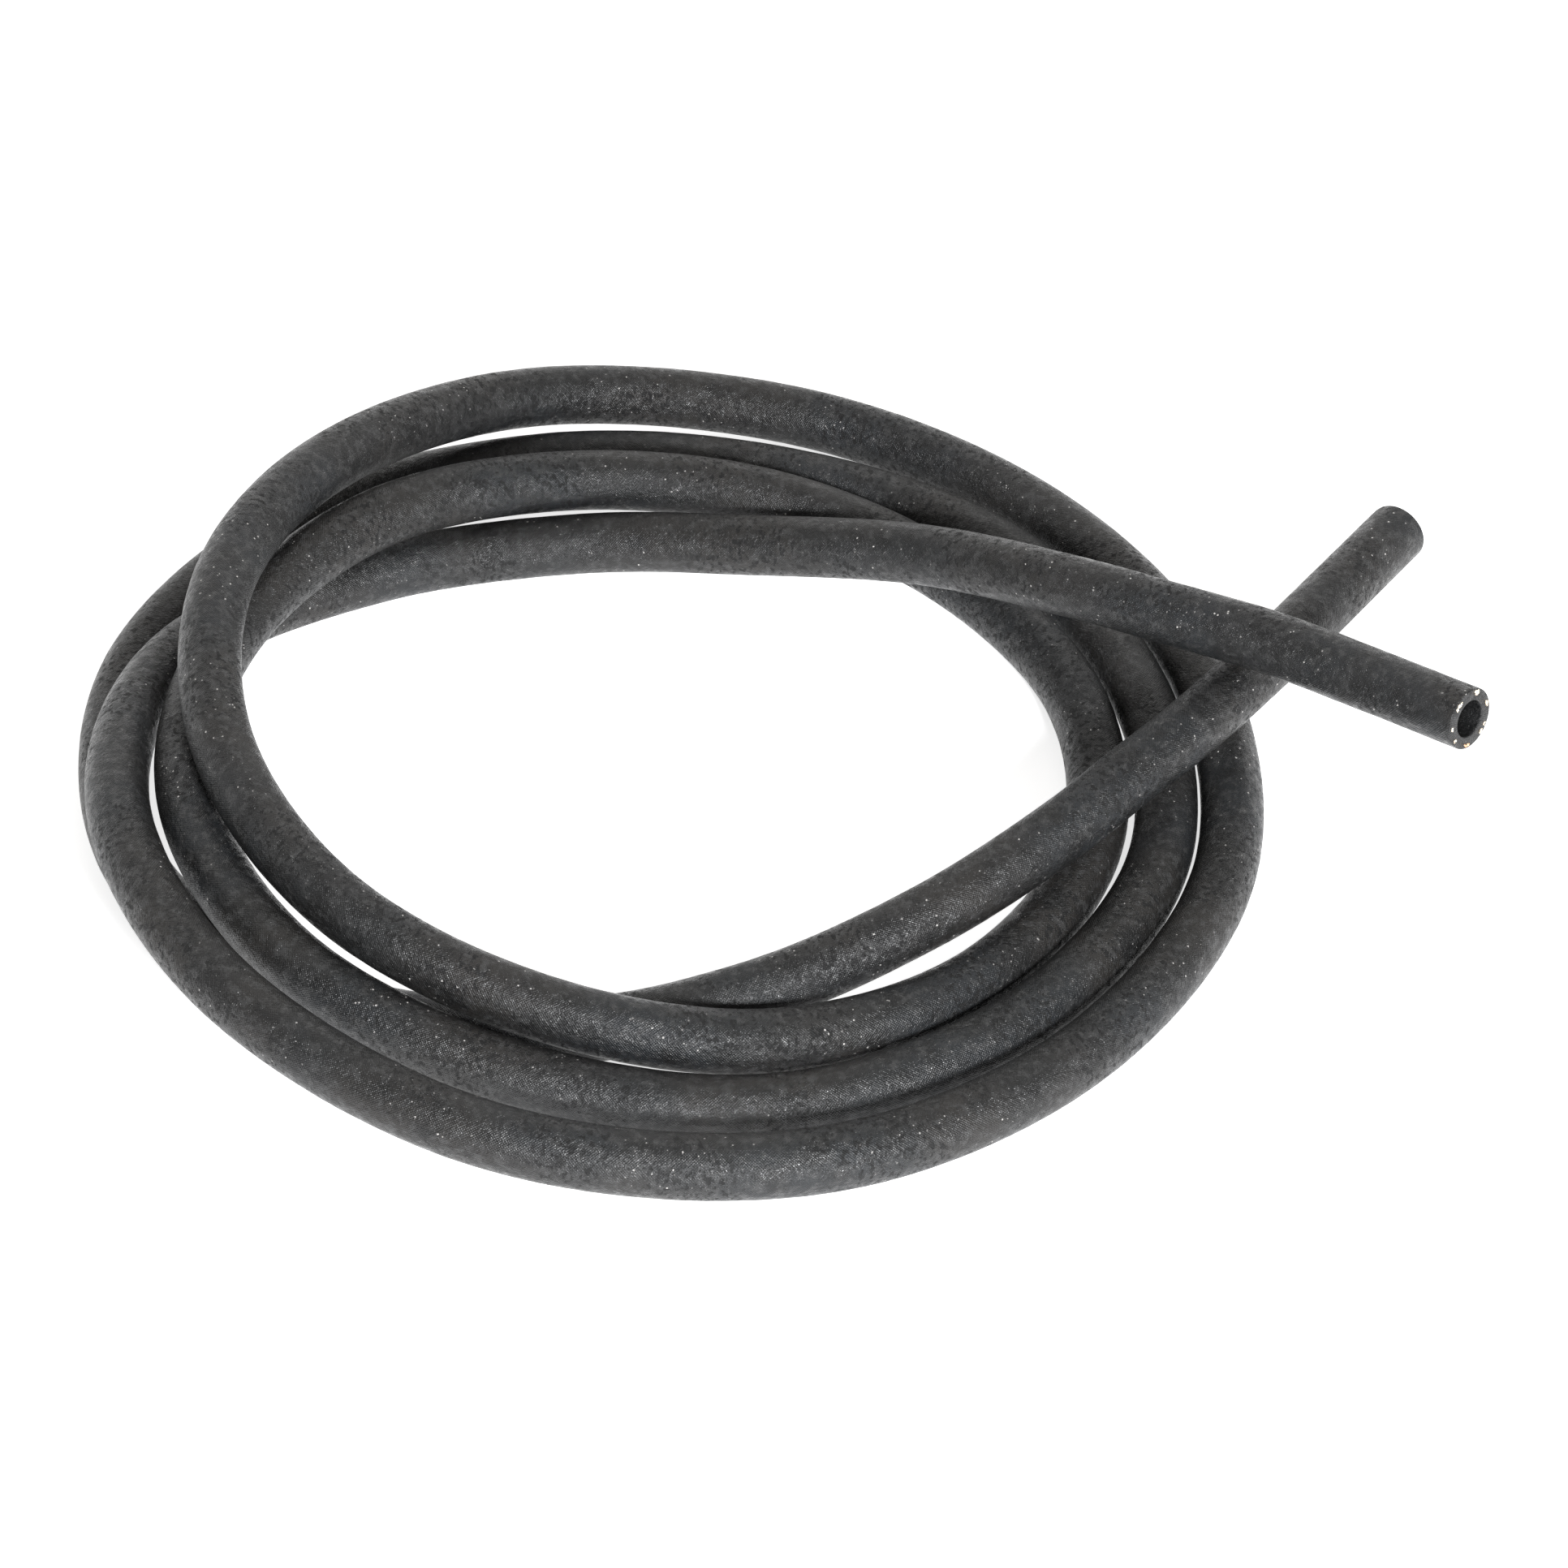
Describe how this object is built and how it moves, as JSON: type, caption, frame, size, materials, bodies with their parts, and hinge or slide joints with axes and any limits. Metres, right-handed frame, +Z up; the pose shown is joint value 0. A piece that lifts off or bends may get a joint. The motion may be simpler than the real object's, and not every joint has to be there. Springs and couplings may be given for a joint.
{
  "type": "water pump hose",
  "caption": "Loosely coiled length of black fabric-reinforced rubber hose with two square-cut open ends, for a water pump or coolant line.",
  "frame": {"origin": "middle of the coil's footprint, on the floor it lies on", "axes": "+Z up, out of the flat coil; +X out of cut end A, which crosses on top of the other tail; +Y roughly out of cut end B"},
  "size_m": [0.3072, 0.3412, 0.0608],
  "materials": {
    "black_rubber": "matte",
    "reinforcement_yarn": "matte"
  },
  "bodies": {
    "root": {"hose": "black_rubber"}
  },
  "joints": []
}
